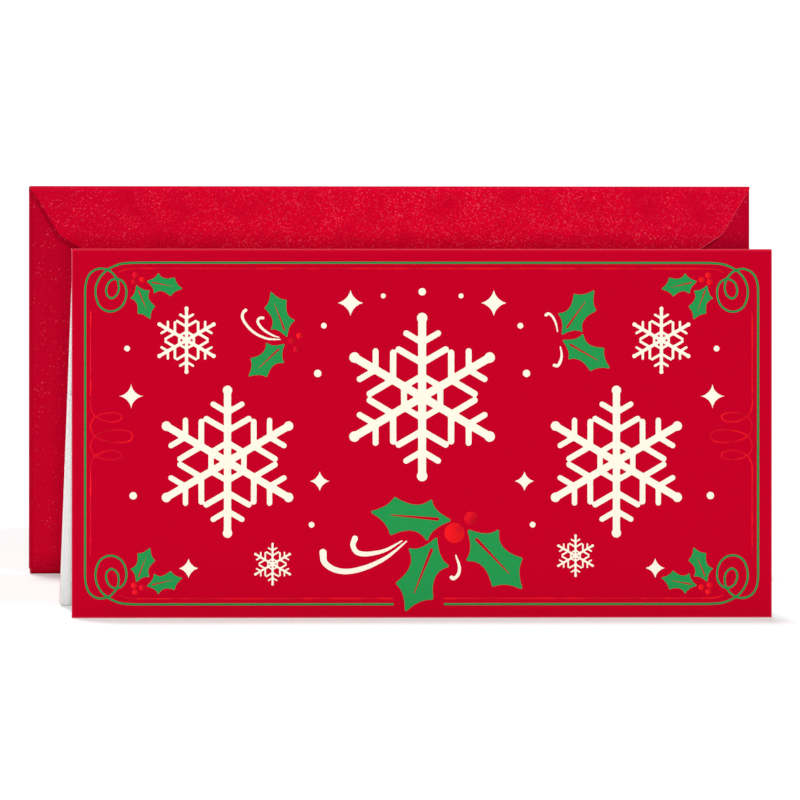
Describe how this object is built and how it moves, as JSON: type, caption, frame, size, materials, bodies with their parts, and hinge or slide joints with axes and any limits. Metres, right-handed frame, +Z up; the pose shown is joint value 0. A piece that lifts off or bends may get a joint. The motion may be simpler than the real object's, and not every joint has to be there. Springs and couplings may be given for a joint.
{
  "type": "money holder card",
  "caption": "Folded greeting card that stands like a tent, with a pocket for a banknote inside, and its envelope with a hinged flap behind it.",
  "frame": {"origin": "middle of the set's box, on the surface that the card and the envelope stand on", "axes": "+X along the card's fold, to the right as the front is read; +Y from the card's front to the envelope; +Z up"},
  "size_m": [0.179, 0.0948, 0.0935],
  "materials": {
    "printed_card": "coated board printed in flat red, satin",
    "card_inside": "uncoated white board, matt",
    "pearl_paper": "red envelope paper with a fine pearl shimmer",
    "dry_glue": "thin dried film of glue, low gloss"
  },
  "bodies": {
    "card_back": {"back_panel": "printed_card", "spine_fold": "printed_card", "pocket_fold": "card_inside", "pocket_panel": "card_inside", "tab_fold_left": "card_inside", "tab_fold_right": "card_inside", "pocket_tab_left": "card_inside", "pocket_tab_right": "card_inside", "tab_glue_left": "dry_glue", "tab_glue_right": "dry_glue"},
    "card_front": {"front_panel": "printed_card"},
    "envelope": {"envelope_address_panel": "pearl_paper", "envelope_bottom_fold": "pearl_paper", "envelope_back_panel": "pearl_paper", "envelope_side_fold_left": "pearl_paper", "envelope_side_fold_right": "pearl_paper", "envelope_side_flap_left": "pearl_paper", "envelope_side_flap_right": "pearl_paper", "seam_glue_left": "dry_glue", "seam_glue_right": "dry_glue", "envelope_flap_fold": "pearl_paper"},
    "envelope_flap": {"closing_flap": "pearl_paper", "flap_gum": "dry_glue"}
  },
  "joints": [
    {"name": "card_fold", "type": "hinge", "parent": "card_back", "child": "card_front", "pos_m": [-0.00402, -0.03545, 0.08738], "axis": [-1, 0, 0], "range_deg": [-14.4, 165.6]},
    {"name": "envelope_lift", "type": "slide", "parent": "card_back", "child": "envelope", "axis": [0, 0, 1], "range_m": [0, 0.1]},
    {"name": "flap_fold", "type": "hinge", "parent": "envelope", "child": "envelope_flap", "pos_m": [0.00077, 0.04571, 0.09189], "axis": [-1, 0, 0], "range_deg": [0, 178], "deforming": ["envelope_flap_fold"]}
  ]
}
